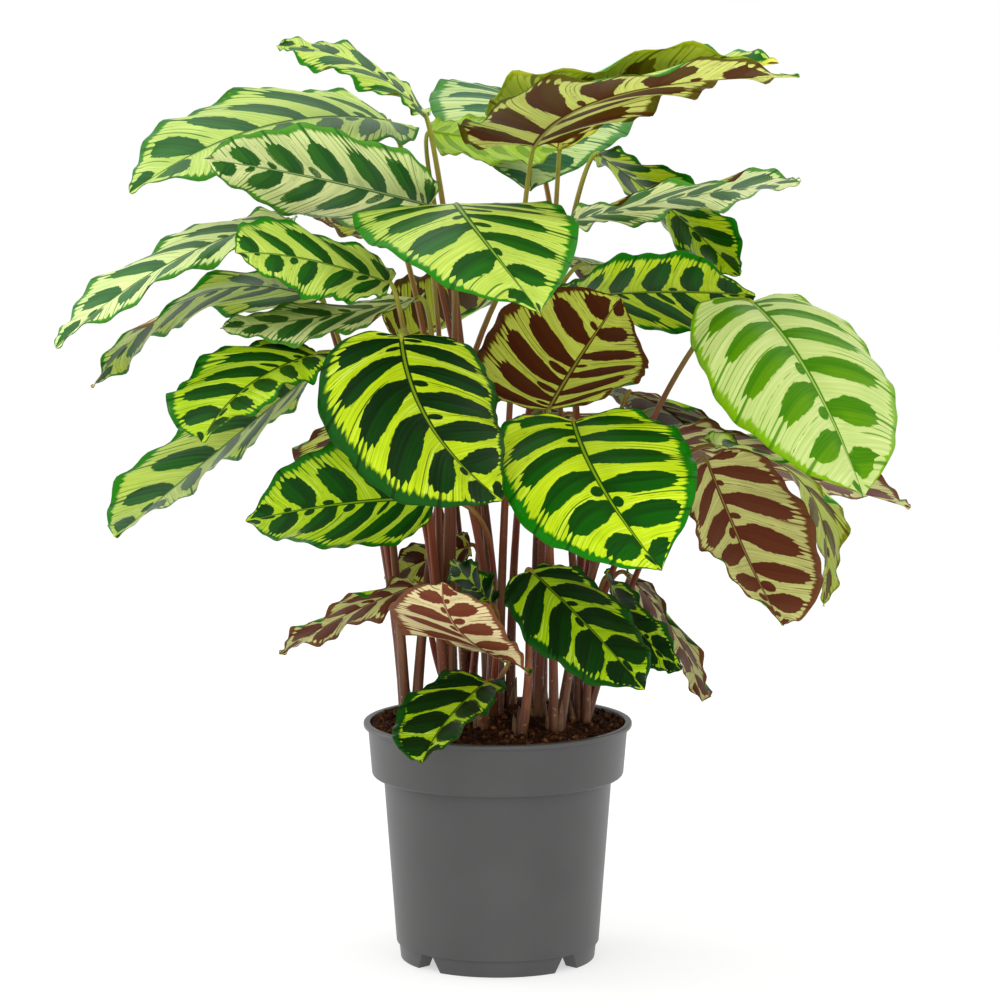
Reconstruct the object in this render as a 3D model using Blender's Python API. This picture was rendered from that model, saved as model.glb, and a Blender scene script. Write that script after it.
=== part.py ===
"""A calathea in its nursery pot: pot, soil, leafy stems and one blade for each leaf.

Lengths in the tables are millimetres and angles are degrees. The built objects are in
metres, +Z up, with the origin on the pot's axis at the level of the feet.
"""

import math
from collections import namedtuple

import bmesh
import bpy
import numpy as np

MM = 0.001
TOUCH = 0.3

# Pot
RIM_RADIUS = 105.0
RIM_TOP = 188.0
LIP_DROP = 4.0
COLLAR_TOP_RADIUS = 101.6
COLLAR_FOOT_RADIUS = 98.6
COLLAR_FOOT = 145.5
COLLAR_ROUND = 2.5
WALL_TOP_RADIUS = 89.7
WALL_FOOT_RADIUS = 79.5
WALL = 2.2
FOOT_HEIGHT = 13.6
FOOT_RADIUS = 76.3
FOOT_INNER_RADIUS = 64.0
FLOOR = 2.4
SIDES = 36
NOTCHES = 4
NOTCH_HALF_TOP = 4.5
NOTCH_HALF_FOOT = 10.0
NOTCH_HEIGHT = 12.4
DRAIN_RADIUS = 4.5
DRAIN_RING = 44.0
DRAINS = 6

# Soil
SOIL_EDGE = 185.5
SOIL_TOP = 195.5
SOIL_RINGS = (0.3, 0.6, 0.85)
HOLE_DEPTH = 20.0

# Leafy stems
CROWN_RADIUS = 9.5
CROWN_SIDES = 12
CROWN_RISE = 5.0
STALK_SPREAD = 4.5
STALK_START = 2.0
STALK_SIDES = 5
STALK_STEPS = 7
STALK_RADII = (4.2, 2.7, 2.1, 1.6)
STALK_GAP = 0.6
STALK_EASE = 1.5

# Blades
BLADE_THICKNESS = 0.8
RIB_DEPTH = 1.2
BLADE_STEPS = 11
BLADE_ACROSS = (-1.0, -0.5, 0.0, 0.5, 1.0)
VEIN_LEAD = 0.16
BELLY = 0.05
LOBE = 0.12
VEIN_SWEEP = 1.35
BASE_WIDTH = 0.012
WAVES = 4.0

# Where each leafy stem's crown stands in the soil
CROWNS = {
    "west": (-68, -8),
    "south_west": (-38, -28),
    "west_heart": (-30, 5),
    "south": (-12, -50),
    "front": (18, -66),
    "south_east": (44, -50),
    "east": (65, -20),
    "north_east": (58, 20),
    "east_heart": (30, -10),
    "heart": (-3, -14),
    "north_heart": (6, 32),
    "north": (-22, 58),
    "far_north_east": (34, 56),
}

Leaf = namedtuple(
    "Leaf", "name crown base tip width arch roll twist sway fold curl wave neck bow"
)

# Each leaf: its stem's crown, where the blade starts and ends, its width, the rise of its
# midrib, its roll and twist about the midrib, the midrib's sideways bend, how far its halves
# fold up and curl, the height of its edge waves, and the length and sideways bow of its stalk
LEAVES = (
    # Front
    Leaf("front_left", "heart", (-71, -183, 509), (1, -235, 397),
         154, -7, -21, 26, 17, 13, -46, 3, 40, 21),
    Leaf("front_right", "east_heart", (57, -101, 436), (117, -248, 348),
         148, 6, -14, -14, 12, 22, -31, 3, 40, 0),
    Leaf("right_pale", "south_east", (193, -57, 522), (269, -180, 394),
         155, 26, -8, 2, 11, 21, -66, 3, 72, 28),
    Leaf("crown_front", "south_west", (-31, -88, 599), (28, -262, 538),
         165, 25, -4, 15, 21, -3, 0, 3, 10, 3),
    Leaf("centre_maroon", "south_east", (39, -85, 443), (93, -40, 522),
         152, -7, 162, -2, -12, -8, -15, 3, 10, 0),
    # Upper left
    Leaf("upper_left_near", "south_west", (-52, -80, 598), (-217, -87, 633),
         132, 3, 145, -2, -4, 4, -15, 3, 40, -6),
    Leaf("upper_left_far", "north_heart", (-86, 88, 651), (-277, -30, 606),
         161, 22, 14, -9, -8, 13, -26, 3, 10, -4),
    Leaf("top_left", "heart", (-56, 2, 661), (-168, 23, 713),
         93, 13, 2, 21, 0, 8, -26, 3, 10, 3),
    Leaf("left_middle_near", "south_west", (-80, -155, 546), (-188, -208, 573),
         94, 5, 30, 15, 17, 2, -8, 3, 10, -6),
    Leaf("left_hidden", "west_heart", (-57, 12, 563), (-147, 8, 592),
         91, -2, -16, 0, 0, 6, -20, 3, 10, 1),
    # Top
    Leaf("top_middle", "north_east", (25, 260, 656), (26, 118, 596),
         172, 12, 4, -3, -1, 23, -22, 3, 40, -36),
    Leaf("top_right_near", "heart", (28, -34, 639), (213, -197, 700),
         170, 15, 3, -1, 45, 13, -21, 3, 40, 0),
    Leaf("top_right_far", "east_heart", (48, 28, 633), (202, -127, 706),
         153, 9, 2, -21, 48, 29, -22, 3, 10, 0),
    Leaf("top_left_far", "north_heart", (-53, 95, 642), (45, 104, 628),
         110, 0, 166, 0, 0, 10, -20, 3, 18, 0),
    # Upper right
    Leaf("right_upper_far", "east_heart", (80, 85, 625), (190, 97, 530),
         106, 4, -163, 20, 4, 5, -26, 3, 20, 21),
    Leaf("right_upper_near", "west", (57, -41, 583), (229, -20, 611),
         125, 4, -164, 3, 7, -2, 6, 3, 72, -15),
    Leaf("right_middle", "east", (49, 30, 517), (194, -46, 526),
         121, 3, -150, 41, -13, 8, -10, 3, 14, 0),
    # Left
    Leaf("left_long_far", "west", (-162, -10, 581), (-332, -75, 492),
         119, 14, 2, 0, 0, 12, -20, 3, 10, 2),
    Leaf("left_long_near", "west", (-136, -39, 523), (-302, -112, 467),
         132, 38, 162, -12, -14, 8, -11, 3, 14, 0),
    Leaf("left_shelf", "south_west", (-60, -106, 530), (-205, -109, 508),
         107, -4, 6, 17, 10, 0, -7, 3, 20, -9),
    Leaf("left_lower_near", "south_west", (-134, -142, 492), (-213, -244, 441),
         115, 7, 0, -6, 10, 16, -16, 3, 72, 10),
    Leaf("left_lower_far", "west", (-140, -79, 470), (-289, -79, 347),
         139, 2, 157, 1, -26, -9, -3, 3, 72, 0),
    Leaf("left_low", "heart", (-48, -96, 377), (-185, -150, 368),
         113, 5, 118, 22, -5, -4, -22, 3, 72, 3),
    # Low
    Leaf("low_left_maroon", "west_heart", (-61, -62, 306), (-166, -57, 252),
         87, 4, -21, 1, 0, 4, -13, 3, 10, -28),
    Leaf("low_centre_maroon", "south", (7, -77, 249), (-41, -190, 326),
         107, -6, 12, -27, 12, 3, -19, 3, 10, -7),
    Leaf("pot_front", "south", (-8, -84, 234), (-56, -173, 189),
         81, 0, -5, -5, 7, 20, -10, 3, 14, 0),
    Leaf("low_right_near", "front", (25, -111, 324), (108, -168, 245),
         95, 4, -18, 3, 3, 0, -18, 3, 14, 12),
    Leaf("low_right_middle", "east", (86, -38, 305), (139, -83, 244),
         68, -2, -124, 25, 8, 3, -10, 3, 20, 0),
    Leaf("low_right_curled", "north_east", (102, 29, 299), (161, 33, 199),
         83, 9, 11, 7, 12, -1, -7, 3, 20, 0),
    Leaf("stem_back", "north", (-22, 38, 321), (-88, 30, 296),
         67, 2, -40, 0, 0, 6, -20, 3, 14, 7),
    Leaf("centre_low", "heart", (-4, -107, 298), (-35, -102, 330),
         60, 0, 142, 0, 0, 8, -20, 3, 12, 0),
    # Right
    Leaf("right_low_near", "east", (159, -70, 402), (212, -157, 291),
         113, -25, 174, 15, -16, -18, -19, 3, 20, 40),
    Leaf("right_low_far", "north_east", (166, -24, 408), (256, 11, 281),
         115, 42, -5, -10, -2, 4, -3, 3, 40, 0),
    Leaf("right_back_long", "north_east", (129, 63, 401), (329, 134, 338),
         142, 2, 18, -15, -4, 8, -12, 3, 50, 0),
    Leaf("centre_back", "north", (-78, 112, 475), (25, 174, 518),
         122, -2, 173, 15, 3, -10, -34, 3, 10, -4),
    # Back
    Leaf("back_high_left", "north", (-92, 125, 587), (-126, 231, 555),
         104, 14, 5, 0, 0, 10, -25, 3, 72, 0),
    Leaf("back_high", "north", (-47, 159, 458), (-46, 246, 388),
         128, 18, 0, 0, 0, 10, -25, 3, 72, 0),
    Leaf("back_high_right", "north_heart", (70, 60, 541), (151, 183, 481),
         150, 14, -5, 0, 0, 10, -25, 3, 72, 18),
    Leaf("back_low_right", "far_north_east", (61, 124, 414), (130, 236, 322),
         150, 12, 0, 0, 0, 10, -25, 3, 60, 0),
    Leaf("back_low", "north", (-4, 104, 403), (8, 266, 322),
         150, 14, 0, 0, 0, 10, -25, 3, 40, 0),
    Leaf("back_low_left", "north", (-60, 107, 417), (-129, 217, 347),
         150, 12, 0, 0, 0, 10, -25, 3, 25, 0),
    Leaf("back_right", "north_east", (105, 83, 437), (187, 182, 352),
         130, 12, -8, 0, 0, 10, -25, 3, 10, 3),
)


def finish(thing, colour, roughness):
    """Give an object its own material."""
    material = bpy.data.materials.new(thing.name)
    material.use_nodes = True
    shader = material.node_tree.nodes["Principled BSDF"]
    shader.inputs["Base Color"].default_value = (*colour, 1.0)
    shader.inputs["Roughness"].default_value = roughness
    shader.inputs["Metallic"].default_value = 0.0
    thing.data.materials.append(material)


def add_object(name, mesh):
    """Link a mesh to the scene as a named object."""
    thing = bpy.data.objects.new(name, mesh)
    bpy.context.scene.collection.objects.link(thing)
    return thing


def mesh_from_bmesh(name, shape):
    """Turn a bmesh into a mesh whose faces point out."""
    bmesh.ops.recalc_face_normals(shape, faces=shape.faces)
    mesh = bpy.data.meshes.new(name)
    shape.to_mesh(mesh)
    shape.free()
    return mesh


def turned(name, profile, sides):
    """Spin a closed (radius, height) outline in millimetres about Z."""
    shape = bmesh.new()
    corners = [shape.verts.new((radius * MM, 0.0, height * MM)) for radius, height in profile]
    edges = [shape.edges.new(pair) for pair in zip(corners, corners[1:])]
    if profile[0][0] > 0.0:
        edges.append(shape.edges.new((corners[-1], corners[0])))
    bmesh.ops.spin(
        shape,
        geom=corners + edges,
        cent=(0, 0, 0),
        axis=(0, 0, 1),
        angle=2 * math.pi,
        steps=sides,
        use_merge=True,
    )
    bmesh.ops.remove_doubles(shape, verts=shape.verts, dist=1e-6)
    return mesh_from_bmesh(name, shape)


def add_prism(shape, outline, low, high):
    """Add a closed prism: an (x, y) outline in millimetres for its foot and its top."""
    foot = [shape.verts.new((x * MM, y * MM, low * MM)) for x, y in outline[0]]
    top = [shape.verts.new((x * MM, y * MM, high * MM)) for x, y in outline[1]]
    shape.faces.new(foot[::-1])
    shape.faces.new(top)
    count = len(foot)
    for i in range(count):
        j = (i + 1) % count
        shape.faces.new((foot[i], foot[j], top[j], top[i]))


def ring_points(centre, radius, sides):
    """Corners of a regular polygon."""
    angles = [2 * math.pi * i / sides for i in range(sides)]
    return [(centre[0] + radius * math.cos(a), centre[1] + radius * math.sin(a)) for a in angles]


def cut(thing, name, shape):
    """Cut a bmesh out of an object with a Boolean."""
    cutter = add_object(name, mesh_from_bmesh(name, shape))
    cutter.hide_render = True
    cutter.display_type = "WIRE"
    modifier = thing.modifiers.new(name, "BOOLEAN")
    modifier.operation = "DIFFERENCE"
    modifier.solver = "EXACT"
    modifier.object = cutter


def wall_radius(height):
    """Outer radius of the pot's wall below the collar."""
    share = (height - FOOT_HEIGHT) / (COLLAR_FOOT - FOOT_HEIGHT)
    return WALL_FOOT_RADIUS + share * (WALL_TOP_RADIUS - WALL_FOOT_RADIUS)


def inner_radius(height):
    """Inner radius of the pot's wall and collar."""
    if height < COLLAR_FOOT:
        return wall_radius(height) - WALL
    share = (height - COLLAR_FOOT) / (RIM_TOP - COLLAR_FOOT)
    low = WALL_TOP_RADIUS - WALL
    return low + (COLLAR_TOP_RADIUS - WALL - low) * share**0.5


def make_pot():
    """The nursery pot, with its collar, feet, notches and drain holes."""
    steps = 3
    corner = [
        (
            COLLAR_FOOT_RADIUS - COLLAR_ROUND * (1 - math.cos(math.pi / 2 * i / steps)),
            COLLAR_FOOT + COLLAR_ROUND * (1 - math.sin(math.pi / 2 * i / steps)),
        )
        for i in range(steps + 1)
    ]
    inner_heights = (FOOT_HEIGHT + FLOOR, COLLAR_FOOT, 155.0, 168.0, RIM_TOP - 1.0)
    profile = [
        (0.0, FOOT_HEIGHT),
        (FOOT_INNER_RADIUS - 1.0, FOOT_HEIGHT),
        (FOOT_INNER_RADIUS, 0.0),
        (FOOT_RADIUS, 0.0),
        (WALL_FOOT_RADIUS, FOOT_HEIGHT),
        (WALL_TOP_RADIUS, COLLAR_FOOT),
        *corner[::-1],
        (COLLAR_TOP_RADIUS, RIM_TOP - LIP_DROP),
        (RIM_RADIUS - 0.8, RIM_TOP - LIP_DROP + 0.6),
        (RIM_RADIUS, RIM_TOP - LIP_DROP + 1.8),
        (RIM_RADIUS - 0.6, RIM_TOP - 0.6),
        (RIM_RADIUS - 1.6, RIM_TOP),
        (COLLAR_TOP_RADIUS - WALL + 0.8, RIM_TOP),
        *[(inner_radius(height), height) for height in inner_heights[::-1]],
        (0.0, FOOT_HEIGHT + FLOOR),
    ]
    pot = add_object("pot", turned("pot", profile, SIDES))
    gaps = bmesh.new()
    for i in range(NOTCHES):
        middle = math.pi / NOTCHES + 2 * math.pi * i / NOTCHES
        outline = []
        for half in (NOTCH_HALF_FOOT, NOTCH_HALF_TOP):
            near = FOOT_INNER_RADIUS - 6.0
            far = WALL_FOOT_RADIUS + 8.0
            across = math.tan(math.radians(half)) * FOOT_RADIUS
            corners = ((near, -across), (far, -across), (far, across), (near, across))
            turn = np.array(
                ((math.cos(middle), -math.sin(middle)), (math.sin(middle), math.cos(middle)))
            )
            outline.append([tuple(turn @ np.array(corner)) for corner in corners])
        add_prism(gaps, outline, -2.0, NOTCH_HEIGHT)
    cut(pot, "pot_notches", gaps)
    holes = bmesh.new()
    spots = [(0.0, 0.0)] + ring_points((0.0, 0.0), DRAIN_RING, DRAINS)
    for spot in spots:
        disc = ring_points(spot, DRAIN_RADIUS, 10)
        add_prism(holes, (disc, disc), FOOT_HEIGHT - 3.0, FOOT_HEIGHT + FLOOR + 3.0)
    cut(pot, "pot_drains", holes)
    finish(pot, (0.085, 0.087, 0.089), 0.45)


def soil_height(radius):
    """Height of the soil's mound at a distance from the axis."""
    share = min(radius / (inner_radius(SOIL_EDGE) - TOUCH), 1.0)
    return SOIL_TOP - (SOIL_TOP - SOIL_EDGE) * share**2


def make_soil():
    """The peat that fills the pot, with a plain hole for each leafy stem."""
    edge = inner_radius(SOIL_EDGE) - TOUCH
    floor = FOOT_HEIGHT + FLOOR + TOUCH
    levels = (155.0, COLLAR_FOOT)
    profile = [
        (0.0, floor),
        (inner_radius(floor) - TOUCH, floor),
        *[(inner_radius(level) - TOUCH, level) for level in levels[::-1]],
        (edge, SOIL_EDGE),
        *[(edge * share, soil_height(edge * share)) for share in SOIL_RINGS[::-1]],
        (0.0, SOIL_TOP),
    ]
    soil = add_object("soil", turned("soil", profile, SIDES))
    holes = bmesh.new()
    for spot in CROWNS.values():
        disc = ring_points(spot, CROWN_RADIUS + TOUCH, CROWN_SIDES)
        low = soil_height(math.hypot(*spot)) - HOLE_DEPTH
        add_prism(holes, (disc, disc), low, SOIL_TOP + 10.0)
    cut(soil, "soil_holes", holes)
    finish(soil, (0.028, 0.014, 0.008), 0.95)


def unit(vectors):
    """Scale vectors to length 1."""
    return vectors / np.linalg.norm(vectors, axis=-1, keepdims=True)


def midrib(leaf, along):
    """Points on the midrib, with its direction, side and face normal there."""
    base = np.array(leaf.base, float)
    chord = np.array(leaf.tip, float) - base
    heading = unit(chord)
    up = np.array((0.0, 0.0, 1.0))
    up = unit(up - heading * (up @ heading))
    side = np.cross(heading, up)
    a = np.clip(along, -0.15, 1.05)[:, None]
    rise = 4 * a * (1 - a)
    slope = 4 * (1 - 2 * a)
    bend = up * leaf.arch + side * leaf.sway
    points = base + along[:, None] * chord + rise * bend
    direction = unit(chord + slope * bend)
    side = unit(np.cross(direction, up))
    normal = np.cross(side, direction)
    angle = np.radians(leaf.roll + leaf.twist * (np.clip(along, 0, 1) - 0.35))[:, None]
    turned_side = side * np.cos(angle) + normal * np.sin(angle)
    turned_normal = normal * np.cos(angle) - side * np.sin(angle)
    return points, direction, turned_side, turned_normal


def blade_points(leaf, turn, across):
    """Middle surface of a blade, and its normals.

    turn goes from 0 at the base to pi at the tip round half of the outline, and across from
    -1 at one edge to 1 at the other.
    """
    turn, across = np.meshgrid(turn, across, indexing="ij")
    shape = turn.shape
    turn = turn.ravel()
    across = across.ravel()
    sine = np.sin(turn)
    share = turn / math.pi
    edge = 0.5 * (1 - np.cos(turn)) - BELLY * sine**2 - LOBE * sine * (1 - share) ** 3
    start = 0.5 * (1 - np.cos(turn)) - (BELLY + VEIN_LEAD) * sine**2
    reach = np.abs(across)
    along = start + (edge - start) * reach**VEIN_SWEEP
    half = leaf.width / 2
    width = np.maximum(np.abs(sine) ** (0.8 + 0.75 * share**3), BASE_WIDTH)
    distance = half * width * reach
    sign = np.where(across < 0, -1.0, 1.0)
    fold = math.radians(leaf.fold)
    curl = math.radians(leaf.curl) / half + 1e-9
    angle = fold + curl * distance
    out = (np.sin(angle) - math.sin(fold)) / curl
    lift = (math.cos(fold) - np.cos(angle)) / curl
    phase = sum(leaf.base) * 0.1
    ripple = np.sin(2 * WAVES * turn + phase + np.where(sign > 0, 0.0, 2.1))
    lift = lift + leaf.wave * reach**2.2 * np.abs(sine) ** 0.5 * ripple
    points, _, side, normal = midrib(leaf, along)
    points = points + side * (out * sign)[:, None] + normal * lift[:, None]
    tilt = np.where(reach > 0, angle, 0.0)[:, None]
    faces = normal * np.cos(tilt) - side * sign[:, None] * np.sin(tilt)
    return points.reshape(*shape, 3), faces.reshape(*shape, 3)


def make_blade(leaf):
    """One leaf's blade: a thin closed solid with a rib under its middle."""
    turn = np.linspace(0.0, math.pi, BLADE_STEPS + 1)
    across = np.array(BLADE_ACROSS)
    middle, normal = blade_points(leaf, turn, across)
    top = middle + normal * BLADE_THICKNESS / 2
    depth = np.full(across.shape, BLADE_THICKNESS / 2)
    depth[len(across) // 2] += RIB_DEPTH
    under = middle - normal * depth[None, :, None]
    rows, columns = middle.shape[:2]
    count = rows * columns
    vertices = np.concatenate((top.reshape(-1, 3), under.reshape(-1, 3))) * MM
    faces = []
    for i in range(rows - 1):
        for j in range(columns - 1):
            a = i * columns + j
            b = a + 1
            c = a + columns
            d = c + 1
            pair = ((a, b, d), (a, d, c)) if (i + j) % 2 else ((a, b, c), (b, d, c))
            for face in pair:
                faces.append(face)
                faces.append(tuple(count + k for k in face[::-1]))
    loop = list(range(columns))
    loop += [i * columns + columns - 1 for i in range(1, rows)]
    loop += [(rows - 1) * columns + j for j in range(columns - 2, -1, -1)]
    loop += [i * columns for i in range(rows - 2, 0, -1)]
    for a, b in zip(loop, loop[1:] + loop[:1]):
        faces.append((a, count + a, count + b))
        faces.append((a, count + b, b))
    shape = bmesh.new()
    corners = [shape.verts.new(tuple(vertex)) for vertex in vertices]
    for face in faces:
        shape.faces.new([corners[k] for k in face])
    blade = add_object(leaf.name, mesh_from_bmesh(leaf.name, shape))
    finish(blade, (0.09, 0.24, 0.03), 0.4)


def stalk_path(leaf, start, steps):
    """Points from a crown up to the blade's base, on a cubic curve."""
    first, direction, _, _ = midrib(leaf, np.array((0.0,)))
    end = first[0] - direction[0] * STALK_GAP
    height = end[2] - start[2]
    span = np.array((end[0] - start[0], end[1] - start[1], 0.0))
    sideways = np.array((-span[1], span[0], 0.0))
    length = np.linalg.norm(sideways)
    sideways = sideways / length if length > 1.0 else np.array((1.0, 0.0, 0.0))
    rise = start + np.array((0.0, 0.0, 0.5 * height)) + 0.12 * span + sideways * leaf.bow
    neck = end - direction[0] * leaf.neck
    t = 1 - (1 - np.linspace(0.0, 1.0, steps + 1)[:, None]) ** STALK_EASE
    path = (1 - t) ** 3 * start + 3 * t * (1 - t) ** 2 * rise + 3 * t * t * (1 - t) * neck
    path = path + t**3 * end
    heading = (1 - t) ** 2 * (rise - start) + 2 * t * (1 - t) * (neck - rise) + t * t * (end - neck)
    return path, unit(heading)


def add_tube(shape, path, direction, radii, sides):
    """Add a closed tube along a path."""
    side = unit(np.cross(direction[0], (0.0, 1.0, 0.3)))
    rings = []
    for point, heading, radius in zip(path, direction, radii):
        side = unit(side - heading * (side @ heading))
        other = np.cross(heading, side)
        angles = [2 * math.pi * k / sides for k in range(sides)]
        ring = [point + radius * (math.cos(a) * side + math.sin(a) * other) for a in angles]
        rings.append([shape.verts.new(tuple(corner * MM)) for corner in ring])
    for low, high in zip(rings, rings[1:]):
        for k in range(sides):
            j = (k + 1) % sides
            shape.faces.new((low[k], low[j], high[j], high[k]))
    shape.faces.new(rings[0][::-1])
    shape.faces.new(rings[-1])


def make_stem(name, spot, leaves):
    """A leafy stem: the crown in the soil, and a stalk for each of its leaves."""
    ground = soil_height(math.hypot(*spot))
    shape = bmesh.new()
    foot = ring_points(spot, CROWN_RADIUS, CROWN_SIDES)
    low = ground - HOLE_DEPTH + TOUCH
    add_prism(shape, (foot, foot), low, ground + CROWN_RISE)
    stem = add_object(name, mesh_from_bmesh(name, shape))
    parts = bpy.data.collections.new(name + "_parts")
    bpy.context.scene.collection.children.link(parts)
    middle = np.array((spot[0], spot[1], ground + STALK_START))
    for leaf in leaves:
        aim = np.array(leaf.base[:2], float) - middle[:2]
        aim = aim / max(np.linalg.norm(aim), 1.0)
        start = middle + np.array((aim[0], aim[1], 0.0)) * STALK_SPREAD
        path, direction = stalk_path(leaf, start, STALK_STEPS)
        share = np.linspace(0.0, 1.0, len(path))
        radii = np.interp(share, (0.0, 0.3, 0.7, 1.0), STALK_RADII)
        tube = bmesh.new()
        add_tube(tube, path, direction, radii, STALK_SIDES)
        stalk = bpy.data.objects.new(leaf.name + "_stalk", mesh_from_bmesh("stalk", tube))
        parts.objects.link(stalk)
    union = stem.modifiers.new("join", "BOOLEAN")
    union.operation = "UNION"
    union.operand_type = "COLLECTION"
    union.collection = parts
    union.solver = "EXACT"
    joined = bpy.data.meshes.new_from_object(
        stem.evaluated_get(bpy.context.evaluated_depsgraph_get())
    )
    stem.modifiers.clear()
    stem.data = joined
    for stalk in list(parts.objects):
        bpy.data.objects.remove(stalk)
    bpy.data.collections.remove(parts)
    finish(stem, (0.16, 0.06, 0.035), 0.55)


def main():
    """Build the whole plant."""
    for old in list(bpy.data.objects):
        bpy.data.objects.remove(old)
    make_pot()
    make_soil()
    for leaf in LEAVES:
        make_blade(leaf)
    for crown, spot in CROWNS.items():
        leaves = [leaf for leaf in LEAVES if leaf.crown == crown]
        make_stem("stem_" + crown, spot, leaves)


main()
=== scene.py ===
"""A calathea in its nursery pot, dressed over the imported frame.

The tables hold millimetres and degrees; the scene is in metres. Leaves, stalks, pot and soil
are rebuilt here from the same rules as the solids, with finer meshes and their own materials.
"""
import math
import random
from collections import namedtuple

import bmesh
import bpy
import numpy as np
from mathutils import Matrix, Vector, noise


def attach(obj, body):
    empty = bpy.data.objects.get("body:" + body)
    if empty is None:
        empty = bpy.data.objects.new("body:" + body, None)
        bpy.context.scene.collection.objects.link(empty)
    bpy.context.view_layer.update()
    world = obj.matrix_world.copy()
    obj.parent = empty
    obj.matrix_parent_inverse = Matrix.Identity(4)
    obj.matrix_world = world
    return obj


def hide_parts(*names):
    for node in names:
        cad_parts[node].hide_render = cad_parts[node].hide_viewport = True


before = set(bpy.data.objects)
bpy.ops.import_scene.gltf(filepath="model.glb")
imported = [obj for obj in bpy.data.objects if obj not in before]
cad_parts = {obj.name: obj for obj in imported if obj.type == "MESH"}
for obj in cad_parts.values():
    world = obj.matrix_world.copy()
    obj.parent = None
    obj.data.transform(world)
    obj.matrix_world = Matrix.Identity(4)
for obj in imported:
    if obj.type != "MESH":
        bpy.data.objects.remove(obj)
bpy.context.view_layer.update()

MM = 0.001

# Studio
CAMERA_PLACE = (0.0018, -3.6, 0.87)
CAMERA_PITCH = 8.03
LENS = 168.3
SENSOR = 36.0
FLOOR_HALF = 60.0
FLOOR_SHADE = 0.45
FLOOR_GLOW = 0.56
DAYLIGHT = 0.98
MIDDLE = (0.0, 0.0, 0.42)
BASE = (0.0, 0.0, 0.2)

# Softboxes: place, target, width and height, power
LIGHTS = {
    "key": ((-1.3, -1.6, 2.4), MIDDLE, (2.0, 2.0), 18.0),
    "fill": ((1.6, -1.7, 2.0), MIDDLE, (2.0, 2.0), 10.0),
    "front": ((0.2, -3.3, 1.3), MIDDLE, (1.8, 1.8), 14.0),
    "low": ((0.0, -2.0, 0.15), (0.0, 0.0, 0.6), (2.4, 0.3), 4.0),
    "left": ((-1.5, 0.5, 0.7), BASE, (0.8, 1.4), 8.0),
    "right": ((1.5, 0.5, 0.7), BASE, (0.8, 1.4), 5.0),
    "back": ((-0.3, 1.6, 2.6), MIDDLE, (2.4, 1.4), 10.0),
}

# Pot
RIM_RADIUS = 105.0
RIM_TOP = 188.0
LIP_DROP = 4.0
LIP_ROUND = 1.2
COLLAR_TOP_RADIUS = 101.6
COLLAR_FOOT_RADIUS = 98.6
COLLAR_FOOT = 145.5
COLLAR_ROUND = 3.2
WALL_TOP_RADIUS = 89.7
WALL_FOOT_RADIUS = 79.5
WALL = 2.2
FOOT_HEIGHT = 13.6
FOOT_RADIUS = 76.3
FOOT_INNER_RADIUS = 64.0
FLOOR = 2.4
POT_SIDES = 192
NOTCHES = 4
NOTCH_HALF_TOP = 4.5
NOTCH_HALF_FOOT = 10.0
NOTCH_HEIGHT = 12.4
DRAIN_RADIUS = 4.5
DRAIN_RING = 44.0
DRAINS = 6
DRAIN_SIDES = 24
SHARP_ANGLE = 32.0
POT_GREY = ((60, 60, 60), (64, 64, 64))
POT_SPECK = (80, 80, 80)

# Soil
SOIL_EDGE = 185.5
SOIL_TOP = 195.5
MOUND_GAP = 0.3
SOIL_GAP = 0.4
SOIL_SINK = 1.2
SOIL_CLIMB = 2.6
SOIL_RINGS = 120
SOIL_SPOKES = 300
SOIL_LEVELS = (160.0, 150.0, COLLAR_FOOT, 90.0, FOOT_HEIGHT + FLOOR + 0.3)
SOIL_TONE = (82, 46, 28)
SOIL_SHADE = (26, 12, 5)
SOIL_FLECK = (110, 66, 36)
CRUMBS = 900
CRUMB_TONES = ((52, 28, 17), (80, 45, 27), (108, 64, 38), (138, 88, 54))
FIBRES = 260
FIBRE_STEPS = 6
FIBRE_TONES = ((112, 76, 46), (88, 58, 36), (132, 98, 64))

# Stalks
STALK_SPREAD = 4.5
STALK_START = 2.0
STALK_SIDES = 12
STALK_STEPS = 30
STALK_GAP = 0.6
STALK_EASE = 1.5
STALK_FOOT = 14.0
STALK_REACH = 0.12
STALK_SEAT = 4.0
STALK_DROP = 1.0
STALK_SHARES = (0.0, 0.12, 0.3, 0.7, 0.88, 0.95, 1.0)
STALK_RADII = (4.4, 3.5, 2.4, 1.8, 1.7, 2.3, 1.5)
STALK_FOOT_TONE = (74, 44, 30)
STALK_RED = (126, 60, 40)
STALK_GREEN = (158, 172, 44)
STALK_STREAK = (50, 22, 14)
STALK_PATCH = (190, 150, 100)
STALK_SPOT = (170, 160, 120)
GREEN_HEIGHTS = (380.0, 520.0)
SHEATHS = 4
SHEATH_RADIUS = 3.4
SHEATH_LEAN = 0.16
SHEATH_STEPS = 9
SHEATH_SIDES = 9
SHEATH_TONE = (96, 66, 40)

# Blades
BLADE_THICKNESS = 0.44
RIB_DEPTH = 1.3
RIB_HALF_WIDTH = 1.3
RIB_GROOVE = 0.25
BLADE_STEPS = 68
NEAR_RIB = (0.0, 0.008, 0.02, 0.038, 0.065)
SIDE_STEPS = 13
VEIN_LEAD = 2.5
BELLY = 0.05
LOBE = 0.12
VEIN_SWEEP = 1.25
BASE_WIDTH = 0.012
WAVES = 4.0
WAVE_PHASE = 0.1
SIDE_PHASE = 2.1
FINE_WAVES = 5.3
FINE_PHASE = 2.3
FINE_SHARE = 0.5
STRIPES = 6.4
STRIPES_WIDTH = 118.0
FEWEST_STRIPES = 4.5
SIDE_SHIFT = 0.45
SEED_TURN = 3.7
VEINS = 7.0
SPACING = (0.15, 0.40, 0.45)
DRIP = 0.02
DRIP_TURN = 0.22
PLEAT = 0.4
FIRST_SEED = 0.31
SEED_STEP = 0.617

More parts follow.
